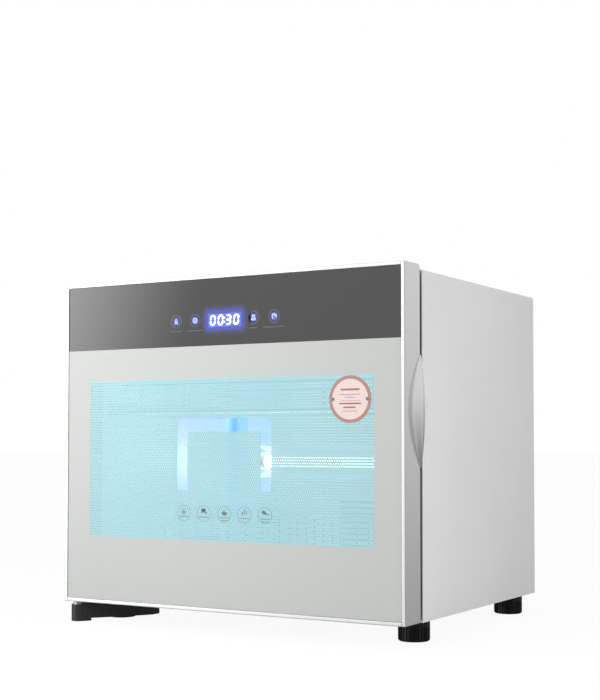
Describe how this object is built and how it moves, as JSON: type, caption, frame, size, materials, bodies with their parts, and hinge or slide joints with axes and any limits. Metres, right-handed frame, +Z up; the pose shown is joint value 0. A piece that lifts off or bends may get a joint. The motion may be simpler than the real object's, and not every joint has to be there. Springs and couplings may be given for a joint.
{
  "type": "dish sterilizer cabinet",
  "caption": "Countertop dish sterilizer cabinet: steel box with a framed glass door hinged on its left, a side grip, wire racks, drip tray, ultraviolet lamp and fan heater.",
  "frame": {"origin": "middle of the box round the whole object, on its lowest face, which is the plane that the feet stand on", "axes": "+X to the right seen from the front, +Y from the door to the back, +Z up"},
  "size_m": [0.457, 0.3684, 0.4005],
  "materials": {
    "rail_aluminium": "brushed satin",
    "grip_chrome": "polished",
    "door_glass": "back-printed, gloss",
    "clear_glass": "clear",
    "shell_paint": "fine satin powder coat",
    "stainless": "brushed",
    "zinc_steel": "zinc plated",
    "chrome_wire": "bright plated wire",
    "black_plastic": "moulded, fine grain",
    "white_plastic": "moulded",
    "grey_rubber": "soft, matt",
    "reflector": "mirror polished",
    "lamp_glass": "clear, lit",
    "circuit_board": "solder resist",
    "display": "dark window",
    "fan_black": "moulded"
  },
  "bodies": {
    "cabinet": {"air_grille": "stainless", "base_pan": "zinc_steel", "board_components": "black_plastic", "board_standoffs": "zinc_steel", "cord_gland": "black_plastic", "fan_housing": "fan_black", "fan_motor": "fan_black", "fan_screws": "zinc_steel", "foot_fasteners": "zinc_steel", "foot_front_left": "black_plastic", "foot_front_right": "black_plastic", "foot_rear_left": "black_plastic", "foot_rear_right": "black_plastic", "front_frame": "stainless", "gland_nut": "black_plastic", "hinge_screws": "zinc_steel", "lamp_ballast": "white_plastic", "lamp_reflector": "reflector", "lamp_sockets": "white_plastic", "liner": "stainless", "liner_supports": "zinc_steel", "lower_hinge_bracket": "black_plastic", "lower_hinge_pin": "zinc_steel", "lower_runners": "stainless", "outer_shell": "shell_paint", "power_board": "circuit_board", "ptc_heater": "zinc_steel", "rear_panel": "shell_paint", "rear_screws": "zinc_steel", "reed_switch": "black_plastic", "thermal_cutout": "zinc_steel", "tube_caps": "reflector", "upper_hinge_bracket": "zinc_steel", "upper_hinge_pin": "zinc_steel", "upper_runners": "stainless", "uv_tube": "lamp_glass"},
    "door": {"door_rail_left": "rail_aluminium", "door_rail_right": "rail_aluminium", "door_rail_top": "rail_aluminium", "door_rail_bottom": "rail_aluminium", "hinge_block_upper": "black_plastic", "hinge_block_lower": "black_plastic", "corner_blocks": "black_plastic", "hinge_bush_upper": "zinc_steel", "hinge_bush_lower": "zinc_steel", "front_glass": "door_glass", "inner_glass": "clear_glass", "inner_panel": "stainless", "door_gasket": "grey_rubber", "handle_grip": "grip_chrome", "control_housing": "white_plastic", "control_board": "circuit_board", "display_module": "display", "touch_pads": "grey_rubber", "door_magnet": "zinc_steel"},
    "upper_rack": {"upper_rack": "chrome_wire"},
    "lower_rack": {"lower_rack": "chrome_wire"},
    "drip_tray": {"drip_tray": "stainless"},
    "fan": {"fan_rotor": "fan_black"}
  },
  "joints": [
    {"name": "door_hinge", "type": "hinge", "parent": "cabinet", "child": "door", "pos_m": [-0.21652, -0.1722, 0.2], "axis": [0, 0, -1], "range_deg": [0, 115]},
    {"name": "upper_rack_slide", "type": "slide", "parent": "cabinet", "child": "upper_rack", "axis": [0, -1, 0], "range_m": [0, 0.018]},
    {"name": "lower_rack_slide", "type": "slide", "parent": "cabinet", "child": "lower_rack", "axis": [0, -1, 0], "range_m": [0, 0.018]},
    {"name": "drip_tray_slide", "type": "slide", "parent": "cabinet", "child": "drip_tray", "axis": [0, -1, 0], "range_m": [0, 0.018]},
    {"name": "fan_spin", "type": "hinge", "parent": "cabinet", "child": "fan", "pos_m": [-0.00352, 0.1658, 0.106], "axis": [0, 1, 0], "continuous": true}
  ]
}
